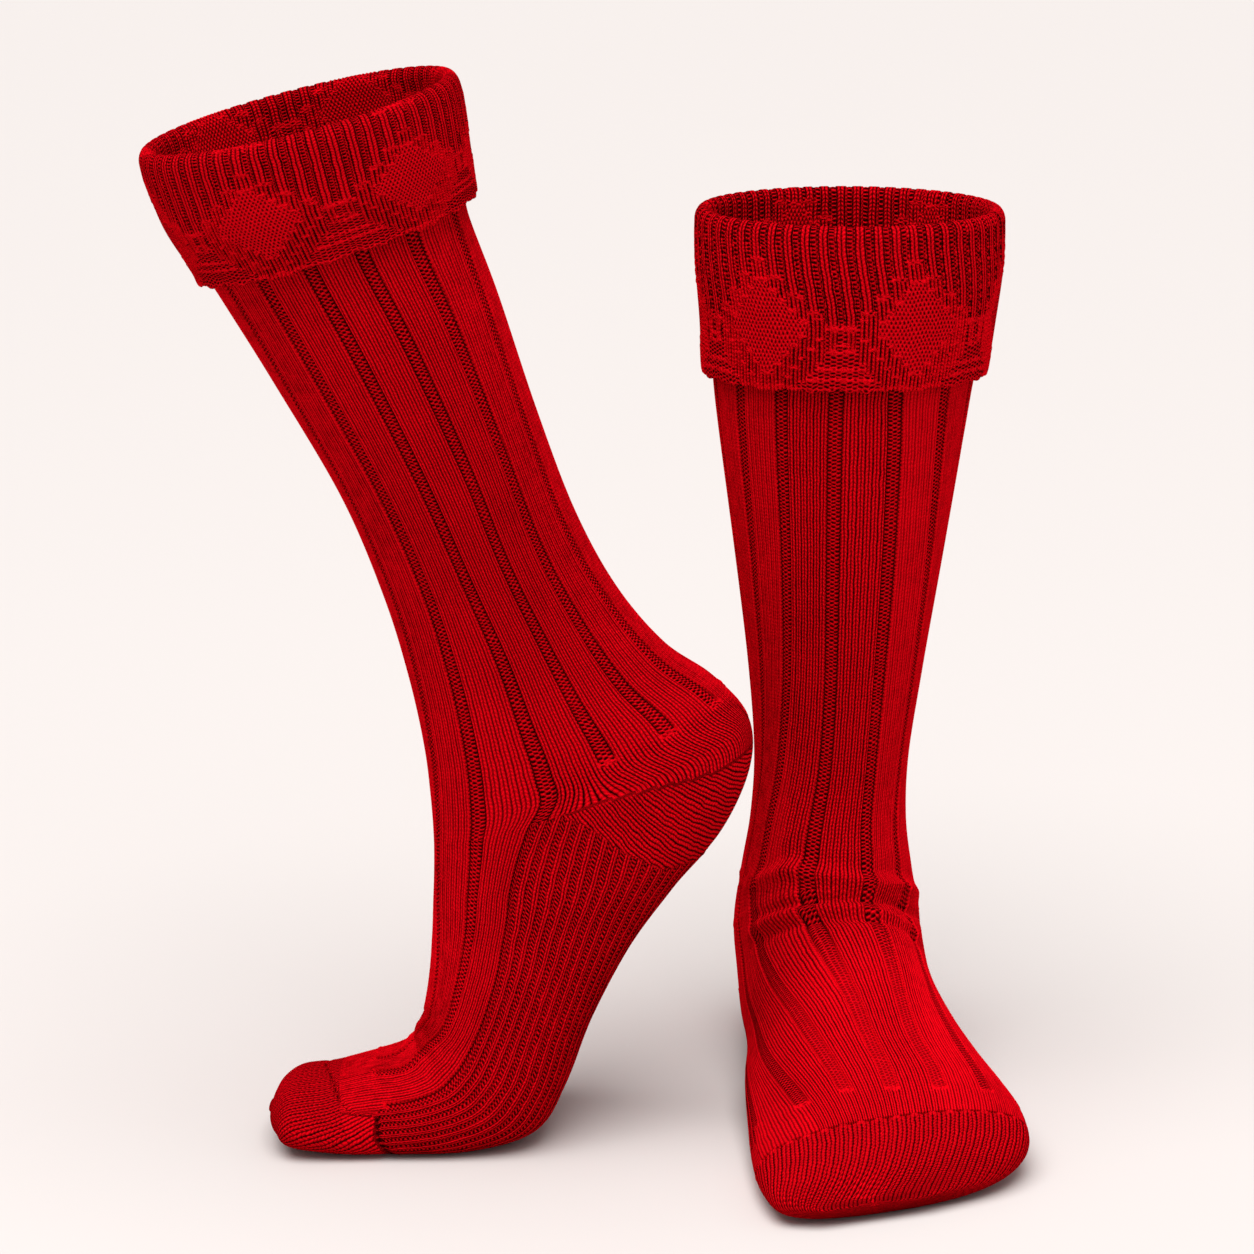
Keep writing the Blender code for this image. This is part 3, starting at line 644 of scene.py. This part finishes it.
def cuff_grid(spec):
    """The cuff: up inside the mouth, over the rolled fold, down the outside to its edge and up behind it.

    The answer is what lay_mesh takes after a name, and how many rings show.
    """
    rows = spec["cuff"]
    last = len(rows) - 1.0
    columns = 3 * REPEAT * DIAMONDS
    # The profile over the fold: straight, half an ellipse, straight. (section, inwards, above)
    rise, wide, tall = 4.0, FOLD_DEPTH / 2, 5.4
    bend = np.linspace(0.0, math.pi, 17)
    fold = [(s, FOLD_DEPTH, 0.0) for s in np.linspace(1.0, 0.0, 13)]
    fold += [(0.0, FOLD_DEPTH, z) for z in np.linspace(0.0, rise, 4)[1:-1]]
    fold += [(0.0, wide + wide * math.cos(a), rise + tall * math.sin(a)) for a in bend]
    fold += [(0.0, 0.0, z) for z in np.linspace(rise, 0.0, 4)[1:]]
    outside = fold + [(s, 0.0, 0.0) for s in even_rings(rows, 0.0, last, 82)[1:]]
    edge = [(last, 0.5, -0.5), (last, 1.4, -0.8), (last, CUFF_WALL - 0.5, -0.5)]
    inner_at = even_rings(rows, 0.0, last, 12)[::-1]
    inside = [(s, CUFF_WALL, -0.6 if s == 0.0 else 0.0) for s in inner_at]
    behind = FOLD_DEPTH - LINING
    inside += [(0.0, CUFF_WALL + 0.6, 0.2), (0.0, behind, -0.4), (0.5, behind, 0.0), (0.97, behind, 0.0)]
    at, inwards, above = np.array(outside + edge + inside).T
    ways = np.broadcast_to(np.arange(columns) / columns, (len(at), columns))
    fx, fz, bx, bz = sections(rows, at)[:, :4].T
    size = np.hypot(fx - bx, fz - bz)
    axis = np.stack([-(fz - bz) / size, 0 * fx, (fx - bx) / size], axis=1)[:, None, :]
    plain = tube(rows, at, ways) - outward(rows, at, ways) * inwards[:, None, None]
    plain = plain + axis * above[:, None, None]

    # Rows up from the edge and legs from a meeting of two diamonds. Over the fold the chart turns back.
    lengths = down_lengths(plain)
    shown = len(outside)
    row = (lengths[shown - 1] - lengths) / (lengths[shown - 1] - lengths[len(fold) - 1]) * FLAP_ROWS
    legs = (ways - spec["diamond_way"]) * DIAMONDS * REPEAT
    lean = spec["lean"] * step(row, DIAMOND_ROW, 55.0)
    # The half repeat added and taken off again rounds x, which settles the columns right on a rib's edge.
    half = REPEAT / 2
    x = np.mod(legs + lean + half - half, REPEAT) - half
    up = np.where(row > FOLD_ROW, 2.0 * FOLD_ROW - row - 14.0, row)
    knit, relief, ridge, woven = cuff_chart(x, up, spec["rise"])

    out = (np.arange(len(at)) < shown + 1)[:, None]
    across = np.roll(plain, -1, axis=1) - np.roll(plain, 1, axis=1)
    normal = np.cross(np.gradient(plain, axis=0), across)
    normal /= np.linalg.norm(normal, axis=2)[:, :, None]
    soft = 1 - 0.62 * step(row, 46.0, FOLD_ROW)
    points = plain + normal * (relief * soft * out)[:, :, None]
    hem_wave = np.cos(math.pi * x / 6.0) * 0.5 + np.cos(math.pi * x / 2.25) * 0.35
    points = points + axis * (hem_wave * (1 - step(np.abs(row), 0.0, 7.0)))[:, :, None]
    wales = legs + 1.0 + lean
    # The depth value drives painted shade in the colour, in the cuff's deep creases between ribs.
    values = {"face": np.where(out, knit, 1.0), "depth": relief * out}
    values.update(ridge=ridge * out, woven=woven * out)
    return (points, wales, row * CUFF_COURSE, values, REPEAT * DIAMONDS), shown


def to_world(spec, points):
    """Turns a sock's own millimetres into metres of the shared frame."""
    a = math.radians(spec["turn"])
    c, s = math.cos(a), math.sin(a)
    x, y, z = np.moveaxis(points, -1, 0)
    px, py = spec["place"]
    return np.stack([px + c * x - s * y, py + s * x + c * y, z], axis=-1) * MM


def put(name, data):
    """A new object of the scene."""
    item = bpy.data.objects.new(name, data)
    bpy.context.scene.collection.objects.link(item)
    return item


def lay_mesh(name, points, wales, courses, values, turn_wales, rims, ring_closed):
    """A mesh of closed rings. The stack of rings is closed too, or it ends in two poles.

    The UV map holds wales and courses. The rings named as rims stay sharp.
    """
    rings, columns = points.shape[:2]
    index = np.arange(rings * columns).reshape(rings, columns)
    upper = np.arange(rings if ring_closed else rings - 1)
    lower = (upper + 1) % rings
    right = (np.arange(columns) + 1) % columns
    wide = np.hstack([wales, wales[:, :1] + turn_wales])
    tall = np.hstack([courses, courses[:, :1]])

    def corners(grid, left, right):
        """The grid's value at the four corners of every quad."""
        four = (grid[upper][:, left], grid[lower][:, left], grid[lower][:, right], grid[upper][:, right])
        return np.stack(four, axis=2).ravel()

    left = np.arange(columns)
    loops = corners(index, left, right)
    uvs = np.stack([corners(grid, left, left + 1) for grid in (wide, tall)], axis=1)
    sizes = np.full(len(loops) // 4, 4)
    flat = points.reshape(-1, 3)
    if not ring_closed:
        flat = np.vstack([flat, points[0].mean(axis=0), points[-1].mean(axis=0)])
        poles = np.full((2, columns), [[len(flat) - 2], [len(flat) - 1]])
        top = np.stack([poles[0], index[0], index[0][right]], 1)
        end = np.stack([index[-1], poles[1], index[-1][right]], 1)
        loops = np.concatenate([loops, top.ravel(), end.ravel()])
        sizes = np.concatenate([sizes, np.full(2 * columns, 3)])
        for ring in (0, -1):
            here, beside = wide[ring, :-1], wide[ring, 1:]
            u, v = np.stack([here, here, beside], axis=1).ravel(), np.repeat(tall[ring, :-1], 3)
            uvs = np.vstack([uvs, np.stack([u, v], axis=1)])

    mesh = bpy.data.meshes.new(name)
    mesh.vertices.add(len(flat))
    mesh.vertices.foreach_set("co", flat.ravel())
    mesh.loops.add(len(loops))
    mesh.loops.foreach_set("vertex_index", loops)
    mesh.polygons.add(len(sizes))
    mesh.polygons.foreach_set("loop_start", np.r_[0, np.cumsum(sizes)[:-1]])
    mesh.update(calc_edges=True)
    mesh.validate()
    mesh.uv_layers.new(name="knit").data.foreach_set("uv", uvs.ravel())
    for key, grid in values.items():
        data = grid.ravel()
        if not ring_closed:
            data = np.r_[data, grid[0].mean(), grid[-1].mean()]
        mesh.attributes.new(key, "FLOAT", "POINT").data.foreach_set("value", data)
    mesh.shade_smooth()
    mesh.set_sharp_from_angle(angle=math.radians(62))
    ends = np.zeros(2 * len(mesh.edges), np.int32)
    mesh.edges.foreach_get("vertices", ends)
    ends = ends.reshape(-1, 2) // columns
    sharp = np.zeros(len(ends), bool)
    mesh.attributes["sharp_edge"].data.foreach_get("value", sharp)
    sharp |= (ends[:, 0] == ends[:, 1]) & np.isin(ends[:, 0], rims)
    mesh.attributes["sharp_edge"].data.foreach_set("value", sharp)
    return put(name, mesh)


def shell(spec, grid, from_end):
    """Outer rings with their relief over a plain inner wall, as one closed stack of rings.

    The inner wall keeps below the deepest fold near each of its rings. Courses are counted from the first
    ring or from the last.
    """
    at, ways, wales, values, relief, turn_wales = grid
    rows = spec["rows"]
    plain = tube(rows, at, ways)
    folds = creases(spec, at, ways * WAYS)
    outer = plain + outward(rows, at, ways) * (relief + folds)[:, :, None]
    outer[:, :, 2] = np.maximum(outer[:, :, 2], 0.0)
    # The inner wall has evenly spread rings, and one more just past each end of the lining's slope.
    slope = np.searchsorted(at, np.add(LINING_END, 0.01))
    pick = np.unique(np.r_[slope, np.linspace(0, len(at) - 1, INNER_RINGS).astype(int)])[::-1]
    wall = WALL - LINING * (1 - step(at[pick], *LINING_END))
    normal = outward(rows, at[pick], ways[pick])
    reach = len(at) // INNER_RINGS + 2
    near = np.pad(folds, ((reach, reach), (0, 0)), mode="edge")
    deepest = np.min([near[k : k + len(at)] for k in range(2 * reach + 1)], axis=0)
    inner = plain[pick] + normal * (deepest[pick] - wall[:, None])[:, :, None]
    inner[:, :, 2] = np.maximum(inner[:, :, 2], WALL)
    lengths = down_lengths(plain)
    if from_end:
        lengths = lengths - lengths[-1]
    points = np.concatenate([outer, inner])
    wales = np.concatenate([wales, wales[pick]])
    courses = np.concatenate([lengths, lengths[pick]]) / COURSE
    # The depth value drives painted shade in the colour: deep channels and fold troughs are darkened.
    values = dict(values, depth=relief + 0.12 * folds)
    # The inner wall: plain knit, a shallow depth for the painted crease shade, and a brushed share that
    # evens out its painted groove shade.
    inside = {"face": 1.0, "depth": 0.2, "brushed": 0.3}
    for key, field in values.items():
        values[key] = np.concatenate([field, np.full(field[pick].shape, inside.get(key, 0.0))])
    return points, wales, courses, values, turn_wales


def cut_of(outer):
    """(width, length) and area in metres of what shows: its widest ring, its longest column, its faces."""
    grid = outer * MM
    across = np.roll(grid, -1, axis=1) - grid
    down = np.diff(grid, axis=0)
    width = np.linalg.norm(across, axis=2).sum(axis=1).max()
    length = np.linalg.norm(down, axis=2).sum(axis=0).max()
    area = np.linalg.norm(np.cross(down, across[:-1]), axis=2).sum()
    return (float(width), float(length)), float(min(area, width * length))


class Worth:
    """A shader socket in an expression: its operators add the Math nodes they need."""

    def __init__(self, nodes, socket):
        self.nodes, self.socket = nodes, socket

    def maths(self, operation, *others, first=None):
        values = (self if first is None else first, *others)
        return self.nodes.worth("ShaderNodeMath", {"operation": operation}, dict(enumerate(values)))

    def __add__(self, other):
        return self.maths("ADD", other)

    __radd__ = __add__

    def __sub__(self, other):
        return self.maths("SUBTRACT", other)

    def __rsub__(self, other):
        return self.maths("SUBTRACT", self, first=other)

    def __mul__(self, other):
        return self.maths("MULTIPLY", other)

    __rmul__ = __mul__

    def __abs__(self):
        return self.maths("ABSOLUTE")

    def __pow__(self, other):
        return self.maths("POWER", other)


class Finish:
    """A material's nodes, added one by one with their settings and inputs."""

    def __init__(self, name):
        self.material = bpy.data.materials.new(name)
        self.material.use_nodes = True
        self.tree = self.material.node_tree
        self.tree.nodes.clear()

    def add(self, kind, settings=None, inputs=None):
        node = self.tree.nodes.new(kind)
        for key, value in (settings or {}).items():
            setattr(node, key, value)
        for key, value in (inputs or {}).items():
            if isinstance(value, Worth):
                self.tree.links.new(value.socket, node.inputs[key])
            elif isinstance(value, bpy.types.NodeSocket):
                self.tree.links.new(value, node.inputs[key])
            else:
                node.inputs[key].default_value = value
        return node

    def worth(self, kind, settings=None, inputs=None, output=0):
        return Worth(self, self.add(kind, settings, inputs).outputs[output])

    def attribute(self, name):
        return self.worth("ShaderNodeAttribute", {"attribute_name": name}, output="Fac")

    def blend(self, share, low, high):
        settings = {"data_type": "RGBA", "clamp_factor": True}
        return self.add("ShaderNodeMix", settings, {"Factor": share, 6: low, 7: high}).outputs[2]

    def shade(self, inputs):
        """Ends the finish with a shader of these inputs, and gives its material."""
        shader = self.add("ShaderNodeBsdfPrincipled", None, inputs)
        self.add("ShaderNodeOutputMaterial", None, {"Surface": shader.outputs[0]})
        return self.material


def knit_finish(name, look, size=1.0, light_gain=1.0, beads=0.42):
    """Stitches from the knit UV map, whose x counts legs and y rows.

    A knit stitch is two beaded ropes, with a shallow crease between them and a deep groove to the next
    stitch. Purl is a net of staggered loops with holes, and woven purl the same with smaller loops. size
    scales their height, light_gain the painted light on their colour, and beads is the share of the ropes'
    height in their beads. The colour holds painted shade too: it darkens with the stitches' height into the
    grooves and holes, and more in deep channels and creases.
    """
    f = Finish(name)
    uv = f.add("ShaderNodeUVMap", {"uv_map": "knit"})

    def noise(scale, detail, rough=0.5):
        settings = {"Vector": uv.outputs[0], "Scale": scale, "Detail": detail, "Roughness": rough}
        return f.worth("ShaderNodeTexNoise", {"noise_dimensions": "2D"}, settings, "Fac")

    def ramp(value, low, high, start=0.0, end=1.0, smooth=True):
        kind = "SMOOTHSTEP" if smooth else "LINEAR"
        limits = {"Value": value, "From Min": low, "From Max": high, "To Min": start, "To Max": end}
        return f.worth("ShaderNodeMapRange", {"interpolation_type": kind}, limits)

    wobble = noise(0.3, 2.0)
    split = f.add("ShaderNodeSeparateXYZ", None, {0: uv.outputs[0]})
    wale = Worth(f, split.outputs[0]) + (wobble - 0.5) * 0.5
    row = Worth(f, split.outputs[1]) + (noise(0.22, 2.0) - 0.5) * 1.2
    turned = ramp(f.attribute("turned"), 0.4, 0.6)
    x = wale + (row * 0.9 - wale) * turned
    y = row + (wale - row) * turned
    off = abs((x * 0.5).maths("FRACT") - 0.5)  # 0 between a stitch's legs, a half between stitches
    leg = 1 - abs(off - 0.25) ** 1.8 * 12.1
    shallow = ramp(off, 0.05, 0.4, 0.2, 0.0)
    bead = (y - off * 1.3).maths("FRACT").maths("PINGPONG", 0.5) * 2.0
    knit = leg * (0.85 - beads / 2 + beads * bead) + (1 - leg) * shallow

    def wave(value, turns):
        return (value * (turns * math.pi)).maths("COSINE")

    net = wave(x, 0.75) * wave(y, 2.0)
    weave = wave(x, 2.0) * wave(y, 1.0)
    woven = f.attribute("woven")
    purl = 0.56 + 0.72 * net + (weave * 0.45 - net * 0.72 + 0.1) * woven
    share = ramp(f.attribute("face"), 0.4, 0.6)
    ridge = f.attribute("ridge") * ramp(noise(0.6, 2.0), 0.35, 0.6, 0.45, 1.0)
    loops = wave(x, 2.0) * 0.5 + 0.5
    fuzz = noise(4.0, 4.0, 0.65)
    height = purl + (knit - purl) * share
    height = height + (0.75 + 0.5 * loops - height) * ridge + (fuzz - 0.5) * 0.3

    # Where the knit counts as brushed, its bump is lowered and its painted groove shade is evened out
    # towards a middle tone: painted light.
    brushed = f.attribute("brushed") * share
    # Painted shade: deep channels, creases and fold troughs darken the colour.
    crease_shade = ramp(f.attribute("depth"), -1.15, -0.6, 0.1, 1.0)
    # Painted shade: the colour darkens with the stitches' height, into the grooves between ropes and the
    # purl's holes.
    lit = ramp(height, 0.28, 0.84, smooth=False)
    lit = lit + (0.66 - lit) * brushed * 0.65
    # Painted light: the gain paints a piece's yarn brighter, and the instep's top and the toe brighter
    # still, purl included.
    worn = f.attribute("worn")
    lit = lit * crease_shade * (worn * 0.4 + light_gain) + worn * (1 - share) * 0.4
    lit = lit + (noise(0.07, 3.0) - 0.5) * 0.2 + (noise(1.3, 4.0, 0.7) - 0.5) * 0.45
    colour = f.blend(lit, tuple(look.groove_shade), tuple(look.yarn))
    height = height * (1 - 0.65 * brushed)
    bump = f.add("ShaderNodeBump", {}, {"Distance": 0.0014 * size, "Height": height})
    sheen = {"Sheen Weight": look.fuzz, "Sheen Roughness": 0.4, "Sheen Tint": tuple(look.fuzz_colour)}
    surface = {"Base Color": colour, "Roughness": 0.92 - 0.15 * lit, "Normal": bump.outputs[0]}
    return f.shade({**surface, **sheen, "Specular IOR Level": 0.0})


def colour_choice(name, description, default):
    return bpy.props.FloatVectorProperty(
        name=name, description=description, default=default, size=4, subtype="COLOR", min=0, max=1
    )


def ring_choice(name, description, default):
    return bpy.props.IntProperty(name=name, description=description, default=default, min=12, max=400)


class SockLook(bpy.types.PropertyGroup):
    """Colours of the yarn and its surroundings."""

    yarn: colour_choice("Yarn", "The yarn where light reaches it", (0.86, 0.0014, 0.008, 1.0))
    # Painted shade: the groove colour is the dark end of the yarn's colour, put in the grooves and holes
    # between stitches where shade falls.
    groove_shade: colour_choice("Grooves", "The yarn down between the wales", (0.02, 0.0001, 0.0004, 1.0))
    fuzz_colour: colour_choice("Fuzz colour", "The loose fibres on the surface", (1.0, 0.01, 0.02, 1.0))
    fuzz: bpy.props.FloatProperty(
        name="Fuzz", description="How much the loose fibres show", default=0.1, min=0, max=1
    )
    floor: colour_choice("Floor", "The pale floor", (0.632, 0.602, 0.59, 1.0))


class SockSizes(bpy.types.PropertyGroup):
    """How finely the pieces are laid."""

    leg_rings: ring_choice("Leg rings", "Rings down a leg", 150)
    foot_rings: ring_choice("Foot rings", "Rings down a foot", 150)
    toe_rings: ring_choice("Toe rings", "Rings down a toe", 44)


def lay_piece(spec, part, solids, cloth, outer, held="stretched", rims=(), ring_closed=True, **more):
    """Lays one piece of a sock, with its finish and its body, and hides the solids that it stands for; its
    cut is worked out and not kept.

    cloth is its points and what lay_mesh takes after them, outer is the rings that show, and more is for
    its finish.
    """
    points, *rest = cloth
    side, slot, wool = spec["side"], part + "_knit", part + "_wool"
    piece = lay_mesh(side + "_" + slot, to_world(spec, points), *rest, rims, ring_closed)
    finish = bpy.data.materials.get(wool) or knit_finish(wool, bpy.context.scene.sock_look, **more)
    piece.data.materials.append(finish)
    nodes = [side + "_" + solid for solid in solids]
    flat, area = cut_of(outer)
    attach(piece, "root")
    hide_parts(*nodes)


def lay_shells(part, grid_of, rings, solids, from_end):
    """Both socks' leg or foot."""
    for spec in (FLAT, RAISED):
        cloth = shell(spec, grid_of(spec, rings), from_end)
        rims = (0, rings - 1, rings, len(cloth[0]) - 1)
        lay_piece(spec, part, solids, cloth, cloth[0][:rings], rims=rims)


class KILTSOCK_OT_legs(bpy.types.Operator):
    """Knit both ribbed legs"""

    bl_idname = "kiltsock.legs"
    bl_label = "Legs"

    def execute(self, context):
        lay_shells("leg", leg_grid, context.scene.sock_sizes.leg_rings, ("calf", "ankle"), from_end=False)
        return {"FINISHED"}


class KILTSOCK_OT_feet(bpy.types.Operator):
    """Knit both feet with their heels and ribbed soles"""

    bl_idname = "kiltsock.feet"
    bl_label = "Feet"

    def execute(self, context):
        lay_shells("foot", foot_grid, context.scene.sock_sizes.foot_rings, ("heel", "foot"), from_end=True)
        return {"FINISHED"}


class KILTSOCK_OT_toes(bpy.types.Operator):
    """Knit both plain toes"""

    bl_idname = "kiltsock.toes"
    bl_label = "Toes"

    def execute(self, context):
        # The toes' yarn is painted brighter than the legs' by its gain: painted light.
        look = {"size": 1.4, "light_gain": 1.32, "beads": 0.75}
        rims = (TOE_INNER_RINGS - 1, TOE_INNER_RINGS)
        for spec in (FLAT, RAISED):
            cloth = toe_cap(spec, context.scene.sock_sizes.toe_rings)
            outer = cloth[0][TOE_INNER_RINGS:]
            lay_piece(spec, "toe", ("toe",), cloth, outer, rims=rims, ring_closed=False, **look)
        return {"FINISHED"}


class KILTSOCK_OT_cuffs(bpy.types.Operator):
    """Knit both turned-over cuffs with their diamonds"""

    bl_idname = "kiltsock.cuffs"
    bl_label = "Cuffs"

    def execute(self, context):
        # The cuffs' yarn is painted brighter than the legs' by its gain: painted light.
        look = {"size": 1.4, "light_gain": 1.3, "beads": 0.5}
        for spec in (FLAT, RAISED):
            cloth, shown = cuff_grid(spec)
            lay_piece(spec, "cuff", ("cuff",), cloth, cloth[0][:shown], "folded", **look)
        return {"FINISHED"}


def lay_floor(look):
    half = 8.0
    mesh = bpy.data.meshes.new("floor")
    corners = [(-half, -half, 0), (half, -half, 0), (half, half, 0), (-half, half, 0)]
    mesh.from_pydata(corners, [], [(0, 1, 2, 3)])
    mesh.update()
    surface = {"Base Color": tuple(look.floor), "Roughness": 0.85, "Specular IOR Level": 0.1}
    mesh.materials.append(Finish("pale_floor").shade(surface))
    put("floor", mesh)


def hang_lamp(name, kind, place, aim, size, power, colour):
    """A lamp turned to what it is aimed at. Its size is an angle for the sun."""
    data = bpy.data.lights.new(name, kind)
    data.energy, data.color = power, colour
    setattr(data, "angle" if kind == "SUN" else "size", size)
    lamp = put(name, data)
    lamp.location = place
    away = np.subtract(place, aim)
    tilt = math.acos(away[2] / np.linalg.norm(away))
    lamp.rotation_euler = (tilt, 0.0, math.atan2(away[0], -away[1]))
    lamp.visible_camera = False


class KILTSOCK_OT_studio(bpy.types.Operator):
    """Lay the pale floor, hang the soft lights and set the camera"""

    bl_idname = "kiltsock.studio"
    bl_label = "Studio"

    def execute(self, context):
        scene = context.scene
        lay_floor(scene.sock_look)
        scene.world = scene.world or bpy.data.worlds.new("studio")
        scene.world.use_nodes = True
        back = scene.world.node_tree.nodes["Background"]
        back.inputs[0].default_value = (1.0, 0.98, 0.965, 1.0)
        back.inputs[1].default_value = 0.5
        sky, front = (1.0, 0.98, 0.97), (1.0, 0.98, 0.965)
        hang_lamp("sky_light", "SUN", (-0.3, -0.62, 2.2), (0, 0, 0), math.radians(60), 3.3, sky)
        hang_lamp("front_light", "AREA", (0.2, -1.5, 1.8), (0, -0.1, 0), 1.2, 9.0, front)

        lens = bpy.data.cameras.new("photo_camera")
        lens.sensor_width, lens.lens = 36.0, 121.84
        lens.clip_start, lens.clip_end = 0.05, 60.0
        camera = put("photo_camera", lens)
        camera.location = (0.014, -1.722, 0.627)
        camera.rotation_euler = (math.radians(76.41), 0.0, 0.0)
        scene.camera = camera
        scene.view_settings.view_transform = "Standard"
        return {"FINISHED"}


class KILTSOCK_PT_panel(bpy.types.Panel):
    """Lists the steps of the pair"""

    bl_idname = "KILTSOCK_PT_panel"
    bl_label = "Kilt socks"
    bl_space_type = "VIEW_3D"
    bl_region_type = "UI"
    bl_category = "Socks"

    def draw(self, context):
        scene = context.scene
        for group in (scene.sock_look, scene.sock_sizes):
            for key in group.bl_rna.properties.keys():
                if key not in ("rna_type", "name"):
                    self.layout.prop(group, key)
        for step_name in STEPS:
            self.layout.operator("kiltsock." + step_name)


STEPS = ("legs", "feet", "toes", "cuffs", "studio")
CLASSES = (
    SockLook,
    SockSizes,
    KILTSOCK_OT_legs,
    KILTSOCK_OT_feet,
    KILTSOCK_OT_toes,
    KILTSOCK_OT_cuffs,
    KILTSOCK_OT_studio,
    KILTSOCK_PT_panel,
)


def register():
    for item in CLASSES:
        bpy.utils.register_class(item)
    bpy.types.Scene.sock_look = bpy.props.PointerProperty(type=SockLook)
    bpy.types.Scene.sock_sizes = bpy.props.PointerProperty(type=SockSizes)


def unregister():
    del bpy.types.Scene.sock_look, bpy.types.Scene.sock_sizes
    for item in reversed(CLASSES):
        bpy.utils.unregister_class(item)


def main():
    register()
    for step_name in STEPS:
        getattr(bpy.ops.kiltsock, step_name)()


if __name__ == "__main__":
    main()
